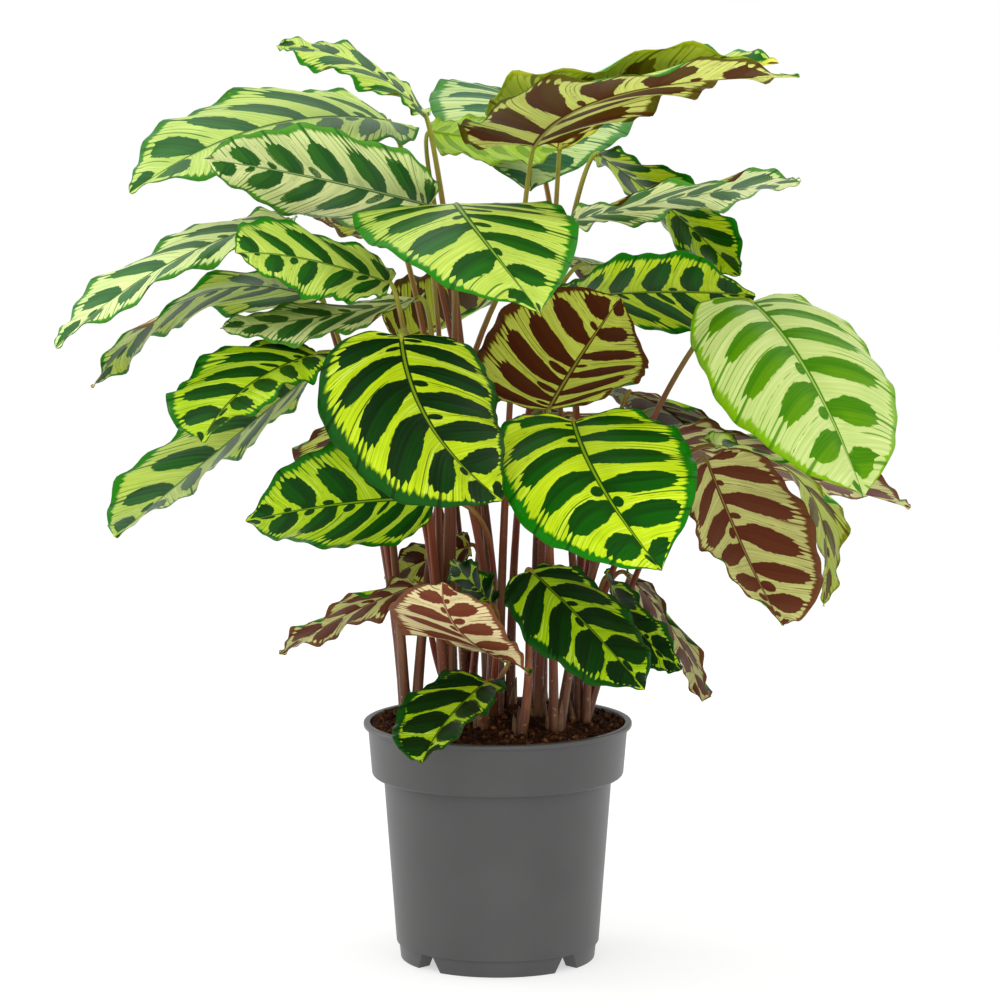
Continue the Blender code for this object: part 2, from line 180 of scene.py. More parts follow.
# Pattern, in shares of a stripe's width and of the way from midrib to edge. A pair is a value
# at 0 and what is added to it at 1, and a RIB pair is where the midrib's colour starts and is full.
WANDER = (-0.2, 0.4)
OVAL_LENGTH = (0.36, 1.1)
OVAL_SPREAD = 0.16
OVAL_TEETH = (-0.04, 0.16)
OVAL_WIDTH = (0.85, 0.3)
OVAL_BLUNTNESS = 6.5
OVAL_WAIST = 0.5
WAIST_REACH = 0.45
OVAL_EDGE = 0.014
BAYS = (-0.06, 0.12)
TAIL = (-0.012, 0.06)
TAIL_EDGE = 0.012
SMALL_LENGTH = (0.05, 0.09)
SMALL_WIDTH = (0.08, 0.10)
SMALL_START = 0.015
SMALL_CHANCE = 0.55
THREAD_START = (0.05, 0.75)
THREAD_WIDTH = 0.16
THREAD_DEPTH = 0.85
TOOTH = 0.12
MARGIN = (1.065, -0.5)
RIB_CORE = (0.020, 0.008)
RIB_EDGE = (0.040, 0.026)
PALE_STREAK = (226, 236, 170)
RELIEF = 0.0005

# Roughness, specular level and its tint, of the upper and the under side
LEAF_SKINS = {
    "leaf_top": (0.36, 0.13, (0.6, 1.0, 0.45)),
    "leaf_under": (0.48, 0.12, (1.0, 0.8, 0.5)),
}

# Leaves whose edges wave more than their rows say
WAVINESS = {
    "top_right_near": 6.0,
    "top_right_far": 6.5,
    "top_left": 4.5,
    "upper_left_far": 4.5,
    "left_long_far": 4.5,
    "left_long_near": 5.0,
    "left_lower_near": 4.5,
    "left_lower_far": 4.5,
    "right_upper_near": 4.5,
    "right_upper_far": 4.0,
    "right_back_long": 4.5,
    "right_low_near": 4.0,
    "right_low_far": 4.5,
    "low_left_maroon": 4.0,
    "low_right_curled": 4.0,
}

CROWNS = {
    "west": (-68, -8),
    "south_west": (-38, -28),
    "west_heart": (-30, 5),
    "south": (-12, -50),
    "front": (18, -66),
    "south_east": (44, -50),
    "east": (65, -20),
    "north_east": (58, 20),
    "east_heart": (30, -10),
    "heart": (-3, -14),
    "north_heart": (6, 32),
    "north": (-22, 58),
    "far_north_east": (34, 56),
}

Leaf = namedtuple(
    "Leaf", "name crown base tip width arch roll twist sway fold curl wave neck bow"
)

# Rows of the part's source: crown, start and end of the blade, its width, its midrib's rise, its
# roll and twist, its midrib's sideways bend, how far its halves fold up and curl, the height of
# its edge waves, and the straight end and sideways bow of its stalk
LEAVES = (
    # Front
    Leaf("front_left", "heart", (-71, -183, 509), (1, -235, 397),
         154, -7, -21, 26, 17, 13, -46, 3, 40, 21),
    Leaf("front_right", "east_heart", (57, -101, 436), (117, -248, 348),
         148, 6, -14, -14, 12, 22, -31, 3, 40, 0),
    Leaf("right_pale", "south_east", (193, -57, 522), (269, -180, 394),
         155, 26, -8, 2, 11, 21, -66, 3, 72, 28),
    Leaf("crown_front", "south_west", (-31, -88, 599), (28, -262, 538),
         165, 25, -4, 15, 21, -3, 0, 3, 10, 3),
    Leaf("centre_maroon", "south_east", (39, -85, 443), (93, -40, 522),
         152, -7, 162, -2, -12, -8, -15, 3, 10, 0),
    # Upper left
    Leaf("upper_left_near", "south_west", (-52, -80, 598), (-217, -87, 633),
         132, 3, 145, -2, -4, 4, -15, 3, 40, -6),
    Leaf("upper_left_far", "north_heart", (-86, 88, 651), (-277, -30, 606),
         161, 22, 14, -9, -8, 13, -26, 3, 10, -4),
    Leaf("top_left", "heart", (-56, 2, 661), (-168, 23, 713),
         93, 13, 2, 21, 0, 8, -26, 3, 10, 3),
    Leaf("left_middle_near", "south_west", (-80, -155, 546), (-188, -208, 573),
         94, 5, 30, 15, 17, 2, -8, 3, 10, -6),
    Leaf("left_hidden", "west_heart", (-57, 12, 563), (-147, 8, 592),
         91, -2, -16, 0, 0, 6, -20, 3, 10, 1),
    # Top
    Leaf("top_middle", "north_east", (25, 260, 656), (26, 118, 596),
         172, 12, 4, -3, -1, 23, -22, 3, 40, -36),
    Leaf("top_right_near", "heart", (28, -34, 639), (213, -197, 700),
         170, 15, 3, -1, 45, 13, -21, 3, 40, 0),
    Leaf("top_right_far", "east_heart", (48, 28, 633), (202, -127, 706),
         153, 9, 2, -21, 48, 29, -22, 3, 10, 0),
    Leaf("top_left_far", "north_heart", (-53, 95, 642), (45, 104, 628),
         110, 0, 166, 0, 0, 10, -20, 3, 18, 0),
    # Upper right
    Leaf("right_upper_far", "east_heart", (80, 85, 625), (190, 97, 530),
         106, 4, -163, 20, 4, 5, -26, 3, 20, 21),
    Leaf("right_upper_near", "west", (57, -41, 583), (229, -20, 611),
         125, 4, -164, 3, 7, -2, 6, 3, 72, -15),
    Leaf("right_middle", "east", (49, 30, 517), (194, -46, 526),
         121, 3, -150, 41, -13, 8, -10, 3, 14, 0),
    # Left
    Leaf("left_long_far", "west", (-162, -10, 581), (-332, -75, 492),
         119, 14, 2, 0, 0, 12, -20, 3, 10, 2),
    Leaf("left_long_near", "west", (-136, -39, 523), (-302, -112, 467),
         132, 38, 162, -12, -14, 8, -11, 3, 14, 0),
    Leaf("left_shelf", "south_west", (-60, -106, 530), (-205, -109, 508),
         107, -4, 6, 17, 10, 0, -7, 3, 20, -9),
    Leaf("left_lower_near", "south_west", (-134, -142, 492), (-213, -244, 441),
         115, 7, 0, -6, 10, 16, -16, 3, 72, 10),
    Leaf("left_lower_far", "west", (-140, -79, 470), (-289, -79, 347),
         139, 2, 157, 1, -26, -9, -3, 3, 72, 0),
    Leaf("left_low", "heart", (-48, -96, 377), (-185, -150, 368),
         113, 5, 118, 22, -5, -4, -22, 3, 72, 3),
    # Low
    Leaf("low_left_maroon", "west_heart", (-61, -62, 306), (-166, -57, 252),
         87, 4, -21, 1, 0, 4, -13, 3, 10, -28),
    Leaf("low_centre_maroon", "south", (7, -77, 249), (-41, -190, 326),
         107, -6, 12, -27, 12, 3, -19, 3, 10, -7),
    Leaf("pot_front", "south", (-8, -84, 234), (-56, -173, 189),
         81, 0, -5, -5, 7, 20, -10, 3, 14, 0),
    Leaf("low_right_near", "front", (25, -111, 324), (108, -168, 245),
         95, 4, -18, 3, 3, 0, -18, 3, 14, 12),
    Leaf("low_right_middle", "east", (86, -38, 305), (139, -83, 244),
         68, -2, -124, 25, 8, 3, -10, 3, 20, 0),
    Leaf("low_right_curled", "north_east", (102, 29, 299), (161, 33, 199),
         83, 9, 11, 7, 12, -1, -7, 3, 20, 0),
    Leaf("stem_back", "north", (-22, 38, 321), (-88, 30, 296),
         67, 2, -40, 0, 0, 6, -20, 3, 14, 7),
    Leaf("centre_low", "heart", (-4, -107, 298), (-35, -102, 330),
         60, 0, 142, 0, 0, 8, -20, 3, 12, 0),
    # Right
    Leaf("right_low_near", "east", (159, -70, 402), (212, -157, 291),
         113, -25, 174, 15, -16, -18, -19, 3, 20, 40),
    Leaf("right_low_far", "north_east", (166, -24, 408), (256, 11, 281),
         115, 42, -5, -10, -2, 4, -3, 3, 40, 0),
    Leaf("right_back_long", "north_east", (129, 63, 401), (329, 134, 338),
         142, 2, 18, -15, -4, 8, -12, 3, 50, 0),
    Leaf("centre_back", "north", (-78, 112, 475), (25, 174, 518),
         122, -2, 173, 15, 3, -10, -34, 3, 10, -4),
    # Back
    Leaf("back_high_left", "north", (-92, 125, 587), (-126, 231, 555),
         104, 14, 5, 0, 0, 10, -25, 3, 72, 0),
    Leaf("back_high", "north", (-47, 159, 458), (-46, 246, 388),
         128, 18, 0, 0, 0, 10, -25, 3, 72, 0),
    Leaf("back_high_right", "north_heart", (70, 60, 541), (151, 183, 481),
         150, 14, -5, 0, 0, 10, -25, 3, 72, 18),
    Leaf("back_low_right", "far_north_east", (61, 124, 414), (130, 236, 322),
         150, 12, 0, 0, 0, 10, -25, 3, 60, 0),
    Leaf("back_low", "north", (-4, 104, 403), (8, 266, 322),
         150, 14, 0, 0, 0, 10, -25, 3, 40, 0),
    Leaf("back_low_left", "north", (-60, 107, 417), (-129, 217, 347),
         150, 12, 0, 0, 0, 10, -25, 3, 25, 0),
    Leaf("back_right", "north_east", (105, 83, 437), (187, 182, 352),
         130, 12, -8, 0, 0, 10, -25, 3, 10, 3),
)

# Colours as sRGB values: pale ground, dark ovals and margin; and how far the ovals fill
TONES = {
    "deep": ((182, 208, 18), (8, 32, 8), (16, 72, 14), 0.36),
    "forest": ((160, 196, 12), (8, 34, 8), (12, 66, 10), 0.42),
    "bright": ((200, 226, 26), (10, 58, 6), (14, 108, 4), 0.345),
    "leafy": ((172, 204, 22), (12, 52, 10), (22, 100, 8), 0.33),
    "fresh": ((188, 210, 84), (18, 66, 16), (34, 120, 14), 0.30),
    # Partly the leaf's own silvery tone, partly a painted sheen of light reflected off the glossy
    # surface
    "silver_and_painted_sheen": ((188, 212, 104), (30, 82, 30), (48, 118, 24), 0.31),
    "cream": ((222, 238, 156), (36, 88, 38), (58, 128, 28), 0.31),
    "pale": ((190, 204, 128), (54, 112, 0), (112, 160, 4), 0.28),
    "maroon": ((192, 204, 74), (66, 24, 8), (78, 42, 12), 0.33),
    "rose": ((200, 202, 122), (92, 42, 28), (104, 62, 36), 0.34),
    "olive": ((190, 204, 60), (70, 46, 8), (84, 66, 10), 0.34),
    "lime": ((196, 212, 84), (84, 58, 12), (136, 140, 30), 0.27),
    # Painted light: cream made lighter to stand for light that these shaded leaves do not get from
    # the lamps
    "painted_lit_ivory": ((246, 252, 180), (40, 92, 42), (80, 146, 46), 0.31),
    "misty": ((186, 206, 132), (34, 84, 50), (72, 130, 58), 0.33),
    "plain": ((142, 176, 22), (100, 138, 14), (108, 144, 16), 0.28),
    "blush": ((226, 210, 156), (108, 48, 30), (114, 68, 42), 0.34),
    # Painted light: a brightened maroon underside, standing for light falling on an underside that
    # faces down
    "painted_lit_under": ((232, 238, 126), (84, 36, 14), (96, 84, 14), 0.33),
    # Painted light: a very bright underside, standing for light shining through the leaf from
    # behind
    "painted_backlit_amber": ((250, 255, 104), (110, 70, 14), (196, 200, 36), 0.27),
}

# Which tones each leaf wears above and below
DRESS = {
    "front_left": ("deep", "maroon"),
    "front_right": ("bright", "maroon"),
    "right_pale": ("pale", "maroon"),
    "crown_front": ("fresh", "maroon"),
    "centre_maroon": ("bright", "maroon"),
    "upper_left_near": ("painted_lit_ivory", "maroon"),
    "upper_left_far": ("silver_and_painted_sheen", "lime"),
    "top_left": ("fresh", "lime"),
    "left_middle_near": ("fresh", "maroon"),
    "left_hidden": ("silver_and_painted_sheen", "olive"),
    "top_middle": ("misty", "maroon"),
    "top_right_near": ("fresh", "painted_lit_under"),
    "top_right_far": ("fresh", "painted_backlit_amber"),
    "top_left_far": ("plain", "plain"),
    "right_upper_far": ("bright", "olive"),
    "right_upper_near": ("painted_lit_ivory", "maroon"),
    "right_middle": ("bright", "maroon"),
    "left_long_far": ("cream", "maroon"),
    "left_long_near": ("fresh", "rose"),
    "left_shelf": ("painted_lit_ivory", "maroon"),
    "left_lower_near": ("leafy", "maroon"),
    "left_lower_far": ("fresh", "maroon"),
    "left_low": ("leafy", "maroon"),
    "low_left_maroon": ("bright", "rose"),
    "low_centre_maroon": ("bright", "blush"),
    "pot_front": ("forest", "maroon"),
    "low_right_near": ("forest", "maroon"),
    "low_right_middle": ("forest", "maroon"),
    "low_right_curled": ("forest", "rose"),
    "stem_back": ("leafy", "maroon"),
    "centre_low": ("forest", "maroon"),
    "right_low_near": ("bright", "rose"),
    "right_low_far": ("fresh", "lime"),
    "right_back_long": ("fresh", "rose"),
    "centre_back": ("bright", "olive"),
}
DRESS_BEHIND = (("bright", "maroon"), ("fresh", "maroon"), ("leafy", "rose"))


def linear(colour):
    """sRGB values 0 to 255 as linear colour."""
    shares = (value / 255 for value in colour)
    return tuple(v / 12.92 if v <= 0.04045 else ((v + 0.055) / 1.055) ** 2.4 for v in shares)


def tones(name):
    """Linear colours of a tone, and its fill."""
    *colours, fill = TONES[name]
    return [*(linear(colour) for colour in colours), fill]


class Shader:
    """A material's node tree, with short calls for sums, mixes and noise."""

    def __init__(self, name):
        self.material = bpy.data.materials.new(name)
        self.material.use_nodes = True
        self.tree = self.material.node_tree
        self.surface = self.tree.nodes["Principled BSDF"]

    def put(self, socket, value):
        """Link or set a socket; None leaves it as it is."""
        if isinstance(value, bpy.types.NodeSocket):
            self.tree.links.new(value, socket)
        elif value is not None:
            socket.default_value = value

    def sum(self, operation, a, b=None, c=None, clamp=False):
        """Output of a maths node."""
        node = self.tree.nodes.new("ShaderNodeMath")
        node.operation = operation
        node.use_clamp = clamp
        for socket, value in zip(node.inputs, (a, b, c)):
            self.put(socket, value)
        return node.outputs[0]

    def scaled(self, value, pair):
        """First number of the pair, plus the second times the value."""
        return self.sum("MULTIPLY_ADD", value, pair[1], pair[0])

    def step(self, value, low, high, start=0.0, end=1.0):
        """Smooth step from start to end as value goes from low to high."""
        node = self.tree.nodes.new("ShaderNodeMapRange")
        node.interpolation_type = "SMOOTHSTEP"
        for socket, item in zip(node.inputs, (value, low, high, start, end)):
            self.put(socket, item)
        return node.outputs[0]

    def mix(self, share, a, b):
        """Mix of two colours, each a socket or a linear colour."""
        node = self.tree.nodes.new("ShaderNodeMix")
        node.data_type = "RGBA"
        self.put(node.inputs[0], share)
        for socket, value in ((node.inputs[6], a), (node.inputs[7], b)):
            self.put(socket, (*value, 1.0) if isinstance(value, tuple) else value)
        return node.outputs[2]

    def vector(self, x, y, z):
        """Vector of three numbers."""
        node = self.tree.nodes.new("ShaderNodeCombineXYZ")
        for socket, value in zip(node.inputs, (x, y, z)):
            self.put(socket, value)
        return node.outputs[0]

    def parts(self, vector):
        """The three numbers of a vector."""
        node = self.tree.nodes.new("ShaderNodeSeparateXYZ")
        self.put(node.inputs[0], vector)
        return node.outputs

    def noise(self, vector, scale=1.0, detail=2.0, roughness=0.5):
        """Smooth noise."""
        node = self.tree.nodes.new("ShaderNodeTexNoise")
        self.put(node.inputs["Vector"], vector)
        self.put(node.inputs["Scale"], scale)
        self.put(node.inputs["Detail"], detail)
        self.put(node.inputs["Roughness"], roughness)
        return node.outputs[0]

    def chance(self, vector):
        """Three random numbers for each exact vector."""
        node = self.tree.nodes.new("ShaderNodeTexWhiteNoise")
        node.noise_dimensions = "3D"
        self.put(node.inputs["Vector"], vector)
        return self.parts(node.outputs["Color"])

    def attribute(self, name, output="Color"):
        """A value kept in the mesh."""
        node = self.tree.nodes.new("ShaderNodeAttribute")
        node.attribute_name = name
        return node.outputs[output]

    def place(self, output="Object"):
        """Texture coordinates."""
        return self.tree.nodes.new("ShaderNodeTexCoord").outputs[output]

    def bump(self, height, distance, strength):
        """Relief of the surface."""
        node = self.tree.nodes.new("ShaderNodeBump")
        self.put(node.inputs["Height"], height)
        self.put(node.inputs["Distance"], distance)
        self.put(node.inputs["Strength"], strength)
        self.set("Normal", node.outputs[0])

    def set(self, name, value):
        """Link or set an input of the surface shader."""
        self.put(self.surface.inputs[name], value)


def leaf_material(name, gloss, specular, sheen):
    """Dark ovals, lighter on one half by a painted sheen, between pale bands, with threads along
    the side veins and a feathered margin.
    """
    s = Shader(name)
    u, v, _ = s.parts(s.place("UV"))
    seed = s.attribute("seed", "Fac")
    fill = s.attribute("fill", "Fac")
    across = s.sum("MULTIPLY_ADD", v, 2.0, -1.0)
    reach = s.sum("ABSOLUTE", across)
    side = s.sum("GREATER_THAN", across, 0.0)
    # The seed is interpolated over each face, and random numbers need an exact one
    ticket = s.sum("ROUND", s.sum("MULTIPLY", seed, 100.0))

    def grain(level, along, scale_level, scale_reach, detail=2.0, shift=0.0):
        """Noise in the leaf's own coordinates."""
        place = s.vector(
            s.sum("MULTIPLY", level, scale_level),
            s.sum("MULTIPLY", along, scale_reach),
            s.sum("ADD", seed, shift) if shift else seed,
        )
        return s.noise(place, 1.0, detail, 0.6)

    # The count grows by 1 from one oval to the next, as in blade_points
    chord = s.sum("MULTIPLY_ADD", s.sum("COSINE", s.sum("MULTIPLY", u, math.pi)), -0.5, 0.5)
    level = s.sum("MULTIPLY", s.sum("POWER", chord, VEIN_LEAD), SPACING[2])
    level = s.sum("MULTIPLY_ADD", chord, SPACING[1], level)
    level = s.sum("MULTIPLY_ADD", u, SPACING[0], level)
    count = s.sum("MULTIPLY", level, s.attribute("stripes", "Fac"))
    count = s.sum("MULTIPLY_ADD", side, SIDE_SHIFT, count)
    count = s.sum("ADD", count, s.sum("FRACT", s.sum("MULTIPLY", seed, SEED_TURN)))
    count = s.sum("ADD", count, s.scaled(grain(u, across, 3.0, 0.8, 1.0), WANDER))
    lines = grain(count, reach, 26.0, 1.0)

    def stripe(scale, shift, key):
        """Distance from a stripe's middle, the same with its sign, and the stripe's chances."""
        place = s.sum("MULTIPLY_ADD", count, scale, shift)
        turned = s.sum("SUBTRACT", s.sum("FRACT", place), 0.5)
        cell = s.vector(s.sum("FLOOR", place), s.sum("ADD", side, key), ticket)
        return s.sum("ABSOLUTE", turned), turned, s.chance(cell)

    # Ovals, each with a tail that reaches the margin, and one half of each oval painted lighter as
    # a painted sheen
    near, _, vein = stripe(VEINS, 0.0, 30.0)
    peak = s.sum("MULTIPLY_ADD", near, -2.0, 1.0)
    offset, turned, draw = stripe(1.0, 0.0, 3.0)
    length = s.sum("MULTIPLY_ADD", draw[0], OVAL_SPREAD, s.scaled(fill, OVAL_LENGTH))
    length = s.sum("ADD", length, s.scaled(s.sum("MULTIPLY", peak, vein[1]), OVAL_TEETH))
    half = s.sum("MULTIPLY", fill, s.scaled(draw[1], OVAL_WIDTH))
    share = s.sum("DIVIDE", reach, length)
    blunt = s.sum("POWER", share, OVAL_BLUNTNESS)
    end = s.sum("SQRT", s.sum("SUBTRACT", 1.0, blunt, clamp=True))
    waist = s.step(share, 0.0, WAIST_REACH, OVAL_WAIST)
    profile = s.sum("MULTIPLY", half, s.sum("MULTIPLY", end, waist))
    bays = s.scaled(grain(count, reach, 9.0, 9.0, 2.0, 7.0), BAYS)
    oval = s.sum("ADD", s.sum("SUBTRACT", profile, offset), bays)
    oval = s.step(oval, -OVAL_EDGE, OVAL_EDGE)
    tail = s.sum("SUBTRACT", s.scaled(reach, TAIL), offset)
    tail = s.step(tail, -TAIL_EDGE, TAIL_EDGE)
    tail = s.sum("MULTIPLY", tail, s.step(share, 0.85, 0.95, 0.0, 0.9))
    dark = s.sum("MAXIMUM", oval, tail)
    # Mask of one half of each oval, where a painted sheen stands for gloss on the pleat
    painted_sheen_half = s.step(turned, -0.05, 0.05)

    # Small ovals beside the midrib, between some of the large ones
    offset, _, draw = stripe(1.0, 0.5, 8.0)
    length = s.scaled(draw[0], SMALL_LENGTH)
    height = s.sum("SUBTRACT", reach, s.sum("ADD", length, SMALL_START))
    height = s.sum("DIVIDE", height, length)
    bow = s.sum("SQRT", s.sum("SUBTRACT", 1.0, s.sum("POWER", height, 2.0), clamp=True))
    small = s.sum("SUBTRACT", s.sum("MULTIPLY", s.scaled(draw[1], SMALL_WIDTH), bow), offset)
    small = s.step(s.sum("MULTIPLY_ADD", bays, 0.5, small), -0.015, 0.015)
    small = s.sum("MULTIPLY", small, s.sum("GREATER_THAN", draw[2], SMALL_CHANCE))
    dark = s.sum("MAXIMUM", dark, small)

    # Threads along the side veins, and the margin with its teeth
    width = s.sum("MULTIPLY", s.sum("POWER", vein[2], 2.0), THREAD_WIDTH)
    start = s.scaled(vein[0], THREAD_START)
    width = s.sum("MULTIPLY", width, s.step(s.sum("SUBTRACT", reach, start), 0.0, 0.2))
    thread = s.step(s.sum("SUBTRACT", width, near), -0.04, 0.05)
    tooth = s.sum("MULTIPLY", s.sum("POWER", peak, 1.3), s.sum("POWER", vein[1], 2.0))
    edge = s.sum("ADD", s.sum("MULTIPLY_ADD", tooth, TOOTH, reach), s.sum("MULTIPLY", bays, 0.9))
    margin = s.step(s.sum("SUBTRACT", edge, s.scaled(fill, MARGIN)), -0.02, 0.03)

    light = s.attribute("light")
    deep = s.attribute("dark")
    rim = s.attribute("rim")
    patch = grain(u, across, 3.2, 1.6, 2.0, 5.0)
    ground = s.mix(s.step(patch, 0.4, 0.75, 0.0, 0.18), light, rim)
    ground = s.mix(s.step(lines, 0.4, 0.65, 0.0, 0.22), ground, rim)
    ground = s.mix(s.step(lines, 0.45, 0.3, 0.0, 0.3), ground, linear(PALE_STREAK))
    ground = s.mix(s.sum("MULTIPLY", thread, THREAD_DEPTH), ground, s.mix(0.5, rim, deep))
    ground = s.mix(margin, ground, rim)
    # Painted sheen: the ovals' colour turns towards the rim colour on one half, more away from the
    # midrib
    shade = s.mix(s.sum("MULTIPLY", painted_sheen_half, s.step(reach, 0.05, 0.3, 0.0, 0.3)), deep, rim)
    shade = s.mix(s.step(lines, 0.4, 0.7, 0.0, 0.2), shade, rim)
    colour = s.mix(dark, ground, shade)
    rib = s.mix(s.step(reach, *RIB_CORE), deep, s.mix(0.35, rim, light))
    colour = s.mix(s.step(reach, *RIB_EDGE), colour, rib)
    s.set("Base Color", colour)
    s.set("Roughness", s.sum("MULTIPLY_ADD", lines, 0.12, gloss))
    s.set("Specular IOR Level", specular)
    s.set("Specular Tint", (*sheen, 1.0))
    s.bump(s.sum("MULTIPLY_ADD", peak, 0.4, s.sum("MULTIPLY", lines, 0.5)), RELIEF, 0.5)
    return s.material


def stalk_material():
    """Stalk with fine grain and pale patches, and spots near the foot."""
    s = Shader("stalk_skin")
    u, v, _ = s.parts(s.place("UV"))
    seed = s.attribute("seed", "Fac")
    tint = s.attribute("light")
    grain = s.noise(s.vector(s.sum("MULTIPLY", u, 14.0), s.sum("MULTIPLY", v, 3.0), seed), 1.0, 3.0)
    blotch = s.noise(s.vector(u, s.sum("MULTIPLY", v, 9.0), s.sum("ADD", seed, 4.0)))
    shade = s.mix(0.45, tint, linear(STALK_STREAK))
    patch = s.mix(0.35, tint, linear(STALK_PATCH))
    colour = s.mix(s.step(grain, 0.35, 0.65), tint, shade)
    colour = s.mix(s.step(blotch, 0.5, 0.7, 0.0, 0.4), colour, patch)
    dots = s.noise(s.place(), 420.0, 1.0)
    dots = s.sum("MULTIPLY", s.step(dots, 0.70, 0.74), s.step(v, 0.25, 0.05, 0.0, 0.6))
    s.set("Base Color", s.mix(dots, colour, linear(STALK_SPOT)))
    s.set("Roughness", 0.38)
    s.set("Specular IOR Level", 0.34)
    s.set("Specular Tint", (1.0, 0.75, 0.6, 1.0))
    s.bump(grain, 0.0004, 0.5)
    return s.material


def pot_material():
    """Satin grey plastic with a faint mottle and fine moulding lines."""
    s = Shader("pot_plastic")
    place = s.place()
    x, y, z = s.parts(place)
    cloud = s.noise(place, 22.0, 4.0)
    speck = s.noise(place, 900.0)
    around = s.sum("MULTIPLY", x, 6.0), s.sum("MULTIPLY", y, 6.0)
    lines = s.noise(s.vector(*around, s.sum("MULTIPLY", z, 420.0)))
    colour = s.mix(s.step(cloud, 0.3, 0.7), *(linear(grey) for grey in POT_GREY))
    colour = s.mix(s.step(speck, 0.62, 0.72, 0.0, 0.25), colour, linear(POT_SPECK))
    s.set("Base Color", colour)
    s.set("Roughness", s.sum("MULTIPLY_ADD", cloud, 0.14, 0.36))
    s.set("Specular IOR Level", 0.5)
    relief = s.sum("ADD", s.sum("MULTIPLY", speck, 0.5), s.sum("MULTIPLY", lines, 0.5))
    s.bump(relief, 0.00012, 0.5)
    return s.material


def soil_material():
    """Dark crumbly peat, lighter on its crumbs and fibres."""
    s = Shader("soil_peat")
    place = s.place()
    lump = s.noise(place, 160.0, 4.0, 0.65)
    grain = s.noise(place, 700.0, 3.0, 0.7)
    colour = s.mix(s.step(lump, 0.3, 0.72), linear(SOIL_SHADE), s.attribute("light"))
    colour = s.mix(s.step(grain, 0.6, 0.75, 0.0, 0.5), colour, linear(SOIL_FLECK))
    s.set("Base Color", colour)
    s.set("Roughness", 0.92)
    s.set("Specular IOR Level", 0.1)
    s.bump(s.sum("ADD", lump, grain), 0.0012, 0.8)
    return s.material


def floor_material():
    """Plain pale studio floor."""
    s = Shader("studio_floor")
    s.set("Base Color", (FLOOR_SHADE, FLOOR_SHADE, FLOOR_SHADE, 1.0))
    s.set("Emission Color", (1.0, 1.0, 1.0, 1.0))
    s.set("Emission Strength", FLOOR_GLOW)
    s.set("Roughness", 0.9)
    s.set("Specular IOR Level", 0.0)
    return s.material


def unit(vectors):
    """Scale vectors to length 1."""
    return vectors / np.linalg.norm(vectors, axis=-1, keepdims=True)


def midrib(leaf, along):
    """Points on the midrib, with its direction, side and face normal there."""
    base = np.array(leaf.base, float)
    chord = np.array(leaf.tip, float) - base
    heading = unit(chord)
    up = np.array((0.0, 0.0, 1.0))
    up = unit(up - heading * (up @ heading))
    side = np.cross(heading, up)
    a = np.clip(along, -0.15, 1.05)[:, None]
    rise = 4 * a * (1 - a)
    slope = 4 * (1 - 2 * a)
    bend = up * leaf.arch + side * leaf.sway
    points = base + along[:, None] * chord + rise * bend
    direction = unit(chord + slope * bend)
    side = unit(np.cross(direction, up))
    normal = np.cross(side, direction)
    angle = np.radians(leaf.roll + leaf.twist * (np.clip(along, 0, 1) - 0.35))[:, None]
    turned_side = side * np.cos(angle) + normal * np.sin(angle)
    turned_normal = normal * np.cos(angle) - side * np.sin(angle)
    return points, direction, turned_side, turned_normal


def stripes_on(leaf):
    """Number of dark ovals on each half; small leaves have fewer."""
    return max(FEWEST_STRIPES, STRIPES * min(leaf.width / STRIPES_WIDTH, 1.0))


def blade_points(leaf, turn, across, seed):
    """Middle surface of a blade, its normals, and each point's distance from the midrib."""
    turn, across = np.meshgrid(turn, across, indexing="ij")
    shape = turn.shape
    turn = turn.ravel()
    across = across.ravel()
    sine = np.sin(turn)
    share = turn / math.pi
    edge = 0.5 * (1 - np.cos(turn)) - BELLY * sine**2 - LOBE * sine * (1 - share) ** 3
    start = (0.5 * (1 - np.cos(turn))) ** VEIN_LEAD
    reach = np.abs(across)
    along = start + (edge - start) * reach**VEIN_SWEEP
    half = leaf.width / 2
    width = np.maximum(np.abs(sine) ** (0.8 + 0.75 * share**3), BASE_WIDTH)
    distance = half * width * reach
    sign = np.where(across < 0, -1.0, 1.0)
    fold = math.radians(leaf.fold)
    curl = math.radians(leaf.curl) / half + 1e-9
    angle = fold + curl * distance
    out = (np.sin(angle) - math.sin(fold)) / curl
    lift = (math.cos(fold) - np.cos(angle)) / curl
    phase = sum(leaf.base) * WAVE_PHASE
    ripple = np.sin(2 * WAVES * turn + phase + np.where(sign > 0, 0.0, SIDE_PHASE))
    wave = WAVINESS.get(leaf.name, leaf.wave)
    lift = lift + wave * reach**2.2 * np.abs(sine) ** 0.5 * ripple
    fine = FINE_WAVES * WAVES * turn + FINE_PHASE * phase + np.where(sign > 0, 1.0, 4.0)
    lift = lift + FINE_SHARE * wave * reach**5 * np.abs(sine) ** 0.5 * np.sin(fine)
    chord = 0.5 * (1 - np.cos(turn))
    level = SPACING[0] * share + SPACING[1] * chord + SPACING[2] * chord**VEIN_LEAD
    count = stripes_on(leaf) * level + (seed * SEED_TURN) % 1
    count = count + np.where(sign > 0, SIDE_SHIFT, 0.0)
    pleat = np.cos(2 * math.pi * count) * np.sin(math.pi * np.minimum(reach * 1.1, 1.0))
    lift = lift + PLEAT * pleat * np.abs(sine)
    along = along + DRIP * np.exp(-(((math.pi - turn) / DRIP_TURN) ** 2))
    points, _, side, normal = midrib(leaf, along)
    points = points + side * (out * sign)[:, None] + normal * lift[:, None]
    tilt = np.where(reach > 0, angle, 0.0)[:, None]
    faces = normal * np.cos(tilt) - side * sign[:, None] * np.sin(tilt)
    return (
        points.reshape(*shape, 3),
        faces.reshape(*shape, 3),
        distance.reshape(shape),
        along.reshape(shape),
    )


